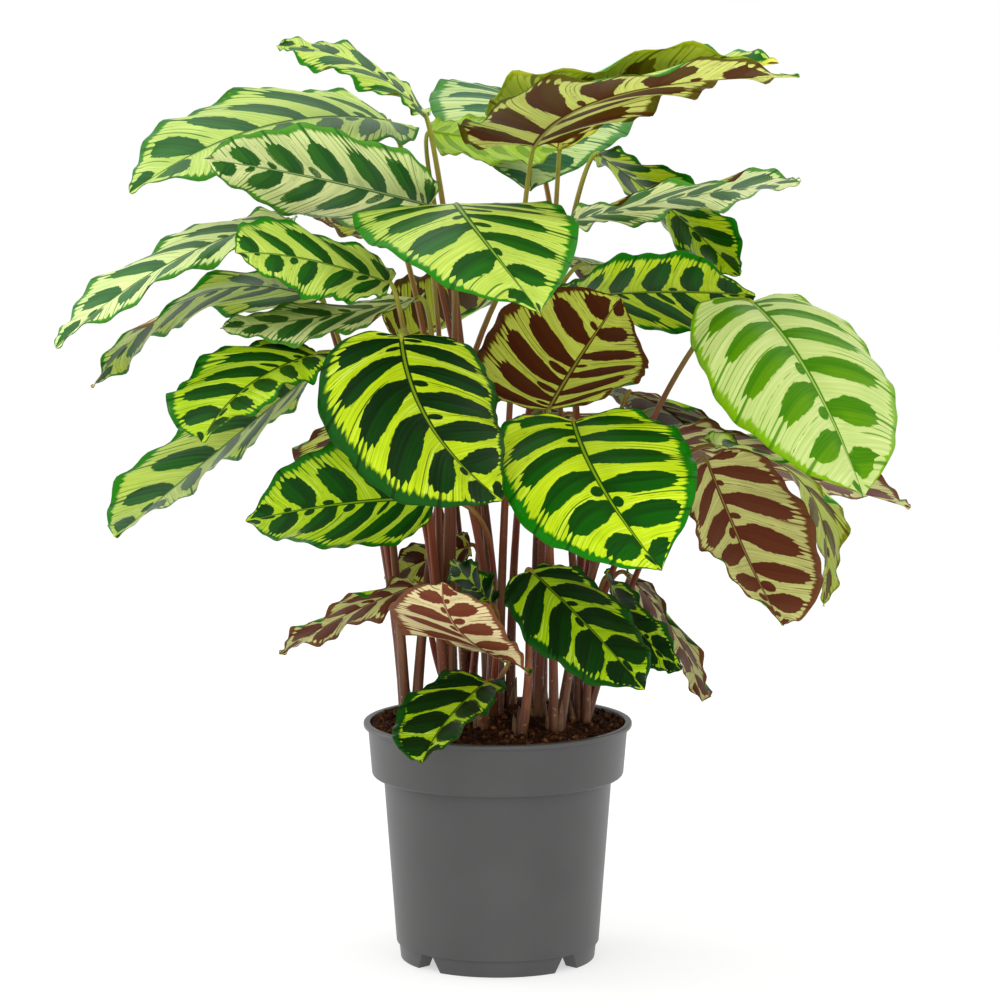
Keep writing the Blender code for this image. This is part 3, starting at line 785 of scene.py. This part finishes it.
def stalk_path(leaf, start, steps):
    """Points from a crown up to the blade's base, on a cubic curve."""
    first, direction, _, _ = midrib(leaf, np.array((0.0,)))
    end = first[0] - direction[0] * STALK_GAP
    height = end[2] - start[2]
    span = np.array((end[0] - start[0], end[1] - start[1], 0.0))
    sideways = np.array((-span[1], span[0], 0.0))
    length = np.linalg.norm(sideways)
    sideways = sideways / length if length > 1.0 else np.array((1.0, 0.0, 0.0))
    rise = start + np.array((0.0, 0.0, 0.5 * height)) + STALK_REACH * span + sideways * leaf.bow
    neck = end - direction[0] * leaf.neck
    t = 1 - (1 - np.linspace(0.0, 1.0, steps + 1)[:, None]) ** STALK_EASE
    path = (1 - t) ** 3 * start + 3 * t * (1 - t) ** 2 * rise + 3 * t * t * (1 - t) * neck
    return path + t**3 * end


def inner_radius(height):
    """Inner radius of the pot's wall and collar."""
    if height < COLLAR_FOOT:
        share = (height - FOOT_HEIGHT) / (COLLAR_FOOT - FOOT_HEIGHT)
        return WALL_FOOT_RADIUS + share * (WALL_TOP_RADIUS - WALL_FOOT_RADIUS) - WALL
    share = (height - COLLAR_FOOT) / (RIM_TOP - COLLAR_FOOT)
    low = WALL_TOP_RADIUS - WALL
    return low + (COLLAR_TOP_RADIUS - WALL - low) * share**0.5


def soil_height(radius):
    """Height of the soil's mound at a distance from the axis."""
    share = min(radius / (inner_radius(SOIL_EDGE) - MOUND_GAP), 1.0)
    return SOIL_TOP - (SOIL_TOP - SOIL_EDGE) * share**2


def link(name, data):
    """Make an object of a mesh, light or camera, and put it in the scene."""
    thing = bpy.data.objects.new(name, data)
    bpy.context.scene.collection.objects.link(thing)
    return thing


def to_mesh(name, shape):
    """Turn a bmesh into a mesh and free it."""
    mesh = bpy.data.meshes.new(name)
    shape.to_mesh(mesh)
    shape.free()
    return mesh


class Build:
    """Collects points, faces, UVs and point colours, and makes one mesh of them."""

    def __init__(self):
        self.points = []
        self.faces = []
        self.slots = []
        self.uvs = []
        self.data = {"seed": [], "fill": [], "stripes": [], "light": [], "dark": [], "rim": []}
        self.count = 0

    def add_points(
        self, points, uvs, seed, light, dark=(0, 0, 0), rim=(0, 0, 0), fill=0.0, stripes=0.0
    ):
        """Add points in millimetres; returns the index of the first."""
        first = self.count
        points = np.asarray(points, float).reshape(-1, 3)
        number = len(points)
        self.points.append(points * MM)
        self.uvs.append(np.asarray(uvs, float).reshape(-1, 2))
        self.data["seed"].append(np.full(number, float(seed)))
        self.data["fill"].append(np.full(number, float(fill)))
        self.data["stripes"].append(np.full(number, float(stripes)))
        for name, colour in (("light", light), ("dark", dark), ("rim", rim)):
            colour = np.broadcast_to(np.asarray(colour, float), (number, 3))
            self.data[name].append(np.column_stack((colour, np.ones(number))))
        self.count += number
        return first

    def add_grid(self, first, rows, columns, slot=0, closed=False, flip=False):
        """Quads between the points of a grid; closed joins the last column to the first."""
        for i in range(rows - 1):
            for j in range(columns if closed else columns - 1):
                k = (j + 1) % columns
                quad = (
                    first + i * columns + j,
                    first + i * columns + k,
                    first + (i + 1) * columns + k,
                    first + (i + 1) * columns + j,
                )
                self.faces.append(quad[::-1] if flip else quad)
                self.slots.append(slot)

    def make(self, name, materials):
        """Make the object."""
        mesh = bpy.data.meshes.new(name)
        points = np.concatenate(self.points)
        mesh.from_pydata(points.tolist(), [], self.faces)
        for material in materials:
            mesh.materials.append(material)
        mesh.polygons.foreach_set("material_index", self.slots)
        mesh.polygons.foreach_set("use_smooth", [True] * len(self.faces))
        layer = mesh.uv_layers.new(name="grid")
        corners = np.empty(len(mesh.loops), int)
        mesh.loops.foreach_get("vertex_index", corners)
        layer.data.foreach_set("uv", np.concatenate(self.uvs)[corners].ravel())
        for key in ("seed", "fill", "stripes"):
            level = mesh.attributes.new(key, "FLOAT", "POINT")
            level.data.foreach_set("value", np.concatenate(self.data[key]))
        for key in ("light", "dark", "rim"):
            colour = mesh.attributes.new(key, "FLOAT_COLOR", "POINT")
            colour.data.foreach_set("color", np.concatenate(self.data[key]).ravel())
        mesh.update()
        return link(name, mesh)


def stand_for(thing, node):
    """Let a piece ride with the plant and stand for its node."""
    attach(thing, "root")
    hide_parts(node)


def make_blade(leaf, index, materials):
    """A thin leaf: top sheet, underside with its rib, and the edge between them."""
    fine = [*NEAR_RIB, *np.linspace(NEAR_RIB[-1], 1.0, SIDE_STEPS)[1:]]
    across = np.array([-v for v in fine[:0:-1]] + fine)
    turn = np.linspace(0.0, math.pi, BLADE_STEPS + 1)
    seed = FIRST_SEED + SEED_STEP * index
    middle, normal, distance, along = blade_points(leaf, turn, across, seed)
    rows, columns = middle.shape[:2]
    thick = BLADE_THICKNESS / 2
    rib = np.exp(-((distance / RIB_HALF_WIDTH) ** 2)) * np.clip(1.1 - along, 0.12, 1.0)
    top = middle + normal * (thick - RIB_GROOVE * rib[..., None])
    under = middle - normal * (thick + RIB_DEPTH * rib[..., None])
    grid = np.meshgrid(turn / math.pi, (across + 1) / 2, indexing="ij")
    uvs = np.stack(grid, -1)
    above, below = DRESS.get(leaf.name, DRESS_BEHIND[index % len(DRESS_BEHIND)])
    build = Build()
    stripes = stripes_on(leaf)
    first = build.add_points(top, uvs, seed, *tones(above), stripes)
    build.add_grid(first, rows, columns, 0)
    second = build.add_points(under, uvs, seed, *tones(below), stripes)
    build.add_grid(second, rows, columns, 1, flip=True)
    loop = list(range(columns))
    loop += [i * columns + columns - 1 for i in range(1, rows)]
    loop += [(rows - 1) * columns + j for j in range(columns - 2, -1, -1)]
    loop += [i * columns for i in range(rows - 2, 0, -1)]
    for a, b in zip(loop, loop[1:] + loop[:1]):
        build.faces.append((first + b, first + a, second + a, second + b))
        build.slots.append(1)
    blade = build.make("blade_" + leaf.name, materials)
    stand_for(blade, leaf.name)


def add_tube(build, path, radii, sides, seed, colours):
    """Add a tube along a path, closed at both ends."""
    heading = unit(np.gradient(path, axis=0))
    side = unit(np.cross(heading[0], (0.0, 1.0, 0.3)))
    rings = []
    angles = np.linspace(0.0, 2 * math.pi, sides, endpoint=False)
    for point, direction, radius in zip(path, heading, radii):
        side = unit(side - direction * (side @ direction))
        other = np.cross(direction, side)
        ring = point + radius * (
            np.cos(angles)[:, None] * side + np.sin(angles)[:, None] * other
        )
        rings.append(ring)
    number = len(path)
    share = np.linspace(0.0, 1.0, number)
    around = np.abs(np.linspace(-1.0, 1.0, sides, endpoint=False))
    uvs = np.stack(np.meshgrid(share, around, indexing="ij")[::-1], -1)
    points = np.array(rings)
    colour = np.repeat(np.asarray(colours), sides, axis=0)
    first = build.add_points(points, uvs, seed, colour)
    build.add_grid(first, number, sides, closed=True)
    build.faces.append(tuple(first + k for k in range(sides))[::-1])
    build.faces.append(tuple(first + (number - 1) * sides + k for k in range(sides)))
    build.slots += [0, 0]


def make_stem(crown, spot, leaves, material):
    """All the stalks of one leafy stem, with the sheaths at its foot."""
    ground = soil_height(math.hypot(*spot))
    middle = np.array((spot[0], spot[1], ground + STALK_START))
    build = Build()
    draw = random.Random(crown)
    low = np.array(linear(STALK_FOOT_TONE))
    green = np.array(linear(STALK_GREEN))
    red, dim, dull = STALK_RED
    for leaf in leaves:
        aim = np.array(leaf.base[:2], float) - middle[:2]
        aim = aim / max(np.linalg.norm(aim), 1.0)
        start = middle + np.array((aim[0], aim[1], 0.0)) * STALK_SPREAD
        path = stalk_path(leaf, start, STALK_STEPS)
        first, direction, _, normal = midrib(leaf, np.array((0.0, 0.03)))
        root = start + (0.0, 0.0, -STALK_FOOT)
        seat = first[0] + direction[0] * STALK_SEAT - normal[0] * STALK_DROP
        path = np.concatenate((root[None], path, seat[None]))
        share = np.linspace(0.0, 1.0, len(path))
        size = draw.uniform(0.92, 1.08)
        radii = size * np.interp(share, STALK_SHARES, STALK_RADII)
        warm = np.array(linear((red + draw.randint(-18, 14), dim + draw.randint(-8, 8), dull)))
        high = np.interp(leaf.base[2], GREEN_HEIGHTS, (0.0, 0.9))
        top = warm + (green - warm) * min(high + draw.choice((0.1, 0.2, 0.4)), 1.0)
        tint = low + (warm - low) * np.interp(share, (0.0, 0.25), (0.0, 1.0))[:, None]
        tint = tint + (top - tint) * np.interp(share, (0.4, 0.8), (0.0, 1.0))[:, None]
        add_tube(build, path, radii, STALK_SIDES, draw.random() * 9, tint)
    steps = np.linspace(0.0, 1.0, SHEATH_STEPS)
    for _ in range(SHEATHS):
        angle = draw.uniform(0.0, 2 * math.pi)
        reach = draw.uniform(3.5, 6.5)
        height = draw.uniform(8.0, 26.0)
        foot = middle + (reach * math.cos(angle), reach * math.sin(angle), -STALK_FOOT)
        lean = np.array((math.cos(angle), math.sin(angle), 0.0)) * height * SHEATH_LEAN
        t = steps[:, None]
        path = foot + t * np.array((0.0, 0.0, height + STALK_FOOT)) + t**2 * lean
        radii = SHEATH_RADIUS * (1 - steps**2.2) + 0.3
        tint = np.repeat(np.array(linear(SHEATH_TONE))[None], SHEATH_STEPS, axis=0)
        add_tube(build, path, radii, SHEATH_SIDES, draw.random() * 9, tint)
    stem = build.make("stalks_" + crown, [material])
    stand_for(stem, "stem_" + crown)


def arc(centre, radius, start, end, steps):
    """Points on an arc in the (radius, height) plane, angles in degrees."""
    angles = np.radians(np.linspace(start, end, steps + 1))
    return [(centre[0] + radius * math.cos(a), centre[1] + radius * math.sin(a)) for a in angles]


def cut(thing, shape):
    """Cut a bmesh out of an object."""
    bmesh.ops.recalc_face_normals(shape, faces=shape.faces)
    cutter = link("cutter", to_mesh("cutter", shape))
    modifier = thing.modifiers.new("cut", "BOOLEAN")
    modifier.operation = "DIFFERENCE"
    modifier.solver = "EXACT"
    modifier.object = cutter
    graph = bpy.context.evaluated_depsgraph_get()
    result = bpy.data.meshes.new_from_object(thing.evaluated_get(graph))
    thing.modifiers.clear()
    thing.data = result
    bpy.data.objects.remove(cutter)


def add_prism(shape, foot, top, low, high):
    """Add a closed prism between two outlines in millimetres."""
    lower = [shape.verts.new((x * MM, y * MM, low * MM)) for x, y in foot]
    upper = [shape.verts.new((x * MM, y * MM, high * MM)) for x, y in top]
    shape.faces.new(lower[::-1])
    shape.faces.new(upper)
    for i in range(len(foot)):
        j = (i + 1) % len(foot)
        shape.faces.new((lower[i], lower[j], upper[j], upper[i]))


def pot_profile():
    """The pot's section as radius and height, from the axis outside, over the lip and inside."""
    profile = [(0.0, FOOT_HEIGHT), (FOOT_INNER_RADIUS - 1.0, FOOT_HEIGHT)]
    # Foot ring
    profile += [(FOOT_INNER_RADIUS, 0.0)]
    profile += arc((FOOT_RADIUS - 1.0, 1.0), 1.0, -90, 0, 3)
    profile += [(FOOT_RADIUS + 1.3, FOOT_HEIGHT - 1.0)]
    # Wall
    profile += [(WALL_FOOT_RADIUS - 0.9, FOOT_HEIGHT - 0.7)]
    profile += arc((WALL_FOOT_RADIUS - 0.8, FOOT_HEIGHT + 0.3), 0.9, -60, 10, 3)
    profile += [(WALL_TOP_RADIUS - 0.4, COLLAR_FOOT - 1.2)]
    profile += [(WALL_TOP_RADIUS + 0.6, COLLAR_FOOT)]
    # Collar
    corner = (COLLAR_FOOT_RADIUS - COLLAR_ROUND, COLLAR_FOOT + COLLAR_ROUND)
    profile += arc(corner, COLLAR_ROUND, -90, 0, 6)
    profile += [(COLLAR_TOP_RADIUS - 0.1, RIM_TOP - LIP_DROP - 0.8)]
    profile += [(COLLAR_TOP_RADIUS + 0.5, RIM_TOP - LIP_DROP)]
    # Lip
    profile += arc((RIM_RADIUS - LIP_ROUND, RIM_TOP - LIP_DROP + LIP_ROUND), LIP_ROUND, -80, 0, 4)
    profile += arc((RIM_RADIUS - LIP_ROUND, RIM_TOP - LIP_ROUND), LIP_ROUND, 0, 90, 4)
    profile += arc((COLLAR_TOP_RADIUS - WALL + 1.4, RIM_TOP - 1.0), 1.0, 90, 180, 4)
    # Inside
    for height in (184.0, 176.0, 168.0, 160.0, 152.0, COLLAR_FOOT, 80.0, FOOT_HEIGHT + FLOOR):
        profile.append((inner_radius(height), height))
    return [*profile, (0.0, FOOT_HEIGHT + FLOOR)]


def notches():
    """The gaps between the pot's feet, wider at the floor."""
    gaps = bmesh.new()
    near = FOOT_INNER_RADIUS - 6.0
    far = WALL_FOOT_RADIUS + 8.0
    for i in range(NOTCHES):
        middle = math.pi / NOTCHES + 2 * math.pi * i / NOTCHES
        turn = np.array(
            ((math.cos(middle), -math.sin(middle)), (math.sin(middle), math.cos(middle)))
        )
        outlines = []
        for half in (NOTCH_HALF_FOOT, NOTCH_HALF_TOP):
            across = math.tan(math.radians(half)) * FOOT_RADIUS
            corners = ((near, -across), (far, -across), (far, across), (near, across))
            outlines.append([tuple(turn @ np.array(corner)) for corner in corners])
        add_prism(gaps, outlines[0], outlines[1], -2.0, NOTCH_HEIGHT)
    return gaps


def drains():
    """The drain holes: one in the middle and a ring around it."""
    holes = bmesh.new()
    ring = [2 * math.pi * i / DRAINS for i in range(DRAINS)]
    spots = [(0.0, 0.0)] + [(DRAIN_RING * math.cos(a), DRAIN_RING * math.sin(a)) for a in ring]
    angles = [2 * math.pi * i / DRAIN_SIDES for i in range(DRAIN_SIDES)]
    for x, y in spots:
        disc = [(x + DRAIN_RADIUS * math.cos(a), y + DRAIN_RADIUS * math.sin(a)) for a in angles]
        add_prism(holes, disc, disc, FOOT_HEIGHT - 3.0, FOOT_HEIGHT + FLOOR + 3.0)
    return holes


def make_pot(material):
    """The nursery pot with rounded lip, collar and feet."""
    profile = pot_profile()
    shape = bmesh.new()
    corners = [shape.verts.new((radius * MM, 0.0, height * MM)) for radius, height in profile]
    edges = [shape.edges.new(pair) for pair in zip(corners, corners[1:])]
    bmesh.ops.spin(
        shape,
        geom=corners + edges,
        cent=(0, 0, 0),
        axis=(0, 0, 1),
        angle=2 * math.pi,
        steps=POT_SIDES,
        use_merge=True,
    )
    bmesh.ops.remove_doubles(shape, verts=shape.verts, dist=1e-6)
    bmesh.ops.recalc_face_normals(shape, faces=shape.faces)
    pot = link("nursery_pot", to_mesh("nursery_pot", shape))
    cut(pot, notches())
    cut(pot, drains())
    pot.data.materials.clear()
    pot.data.materials.append(material)
    pot.data.shade_smooth()
    pot.data.set_sharp_from_angle(angle=math.radians(SHARP_ANGLE))
    stand_for(pot, "pot")


def soil_relief(x, y):
    """Lumps of the soil's surface, in millimetres."""
    place = Vector((x * 0.11, y * 0.11, 3.0))
    lump = noise.noise(place * 0.5) * 2.0
    grain = noise.fractal(place * 2.2, 0.6, 2.2, 4) * 1.3
    return lump + grain


def soil_surface(x, y):
    """Height of the peat at a spot: it climbs a little where it meets the pot."""
    radius = math.hypot(x, y)
    edge = inner_radius(SOIL_EDGE) - SOIL_GAP
    climb = SOIL_CLIMB * min(radius / edge, 1.0) ** 8
    return soil_height(radius) - SOIL_SINK + soil_relief(x, y) + climb


def scatter(draw, edge):
    """A random spot inside a circle."""
    radius = edge * math.sqrt(draw.random())
    angle = draw.uniform(0.0, 2 * math.pi)
    return radius * math.cos(angle), radius * math.sin(angle)


def add_mound(build, edge):
    """The peat itself: its lumpy top, its side along the pot's wall, and its underside."""
    spokes = [2 * math.pi * j / SOIL_SPOKES for j in range(SOIL_SPOKES)]
    rows = []
    for i in range(1, SOIL_RINGS + 1):
        radius = edge * (i / SOIL_RINGS) ** 0.85
        for angle in spokes:
            x = radius * math.cos(angle)
            y = radius * math.sin(angle)
            rows.append((x, y, soil_surface(x, y)))
    for height in SOIL_LEVELS:
        radius = inner_radius(height) - SOIL_GAP
        rows += [(radius * math.cos(angle), radius * math.sin(angle), height) for angle in spokes]
    points = np.array(rows)
    first = build.add_points(points, points[:, :2] * 0.005, 1.0, linear(SOIL_TONE))
    count = SOIL_RINGS + len(SOIL_LEVELS)
    build.add_grid(first, count, SOIL_SPOKES, closed=True)
    build.faces.append(tuple(first + j for j in range(SOIL_SPOKES)))
    last = first + (count - 1) * SOIL_SPOKES
    build.faces.append(tuple(last + j for j in range(SOIL_SPOKES))[::-1])
    build.slots += [0, 0]


def make_soil(material):
    """The peat: a mound down to the pot's floor, with crumbs and fibres on it."""
    edge = inner_radius(SOIL_EDGE) - SOIL_GAP
    draw = random.Random(7)
    build = Build()
    add_mound(build, edge)
    seeds = bmesh.new()
    bmesh.ops.create_icosphere(seeds, subdivisions=1, radius=1.0)
    ball = np.array([vertex.co for vertex in seeds.verts])
    triangles = [tuple(vertex.index for vertex in face.verts) for face in seeds.faces]
    seeds.free()
    for _ in range(CRUMBS):
        x, y = scatter(draw, edge - 2.0)
        size = draw.uniform(0.5, 1.5) ** 2 * 1.1 + 0.35
        stretch = np.array([draw.uniform(0.7, 1.4) for _ in range(3)])
        jag = np.array([draw.uniform(0.65, 1.25) for _ in ball])[:, None]
        spots = ball * jag * stretch * size + (x, y, soil_surface(x, y) + 0.2 + size * 0.3)
        tone = linear(draw.choice(CRUMB_TONES))
        start = build.add_points(spots, spots[:, :2] * 0.005, 2.0, tone)
        build.faces += [tuple(start + k for k in triangle) for triangle in triangles]
        build.slots += [0] * len(triangles)
    for _ in range(FIBRES):
        x, y = scatter(draw, edge - 6.0)
        turn = draw.uniform(0.0, 2 * math.pi)
        length = draw.uniform(4.0, 13.0)
        bend = draw.uniform(-1.2, 1.2)
        path = []
        for k in range(FIBRE_STEPS):
            t = k / (FIBRE_STEPS - 1) - 0.5
            px = x + length * t * math.cos(turn + bend * t)
            py = y + length * t * math.sin(turn + bend * t)
            path.append((px, py, soil_surface(px, py) + 1.5 - 3 * t * t))
        tone = np.array(linear(draw.choice(FIBRE_TONES)))
        tint = np.repeat(tone[None], FIBRE_STEPS, axis=0)
        radii = np.full(FIBRE_STEPS, draw.uniform(0.15, 0.35))
        add_tube(build, np.array(path), radii, 4, 3.0, tint)
    soil = build.make("peat", [material])
    stand_for(soil, "soil")


def add_light(name, place, target, size, power):
    """A softbox aimed at a point."""
    data = bpy.data.lights.new(name, "AREA")
    data.shape = "RECTANGLE"
    data.size, data.size_y = size
    data.energy = power
    light = link(name, data)
    light.location = place
    aim = Vector(target) - Vector(place)
    light.rotation_euler = aim.to_track_quat("-Z", "Y").to_euler()


def make_studio():
    """Floor, even daylight, softboxes and the camera."""
    scene = bpy.context.scene
    world = bpy.data.worlds.new("studio")
    world.use_nodes = True
    background = world.node_tree.nodes["Background"]
    background.inputs["Color"].default_value = (1.0, 1.0, 1.0, 1.0)
    background.inputs["Strength"].default_value = DAYLIGHT
    scene.world = world
    scene.view_settings.view_transform = "Standard"
    half = FLOOR_HALF
    mesh = bpy.data.meshes.new("studio_floor")
    corners = [(-half, -half, 0.0), (half, -half, 0.0), (half, half, 0.0), (-half, half, 0.0)]
    mesh.from_pydata(corners, [], [(0, 1, 2, 3)])
    mesh.materials.append(floor_material())
    floor = link("studio_floor", mesh)
    for name, row in LIGHTS.items():
        add_light(name, *row)
    data = bpy.data.cameras.new("camera")
    data.lens = LENS
    data.sensor_width = SENSOR
    data.clip_end = 200.0
    camera = link("camera", data)
    camera.location = CAMERA_PLACE
    camera.rotation_euler = (math.radians(90.0 - CAMERA_PITCH), 0.0, 0.0)
    scene.camera = camera


make_studio()
make_pot(pot_material())
make_soil(soil_material())
leaf_skins = [leaf_material(title, *look) for title, look in LEAF_SKINS.items()]
for order, row in enumerate(LEAVES):
    make_blade(row, order, leaf_skins)
stalk_skin = stalk_material()
for title, place in CROWNS.items():
    make_stem(title, place, [row for row in LEAVES if row.crown == title], stalk_skin)
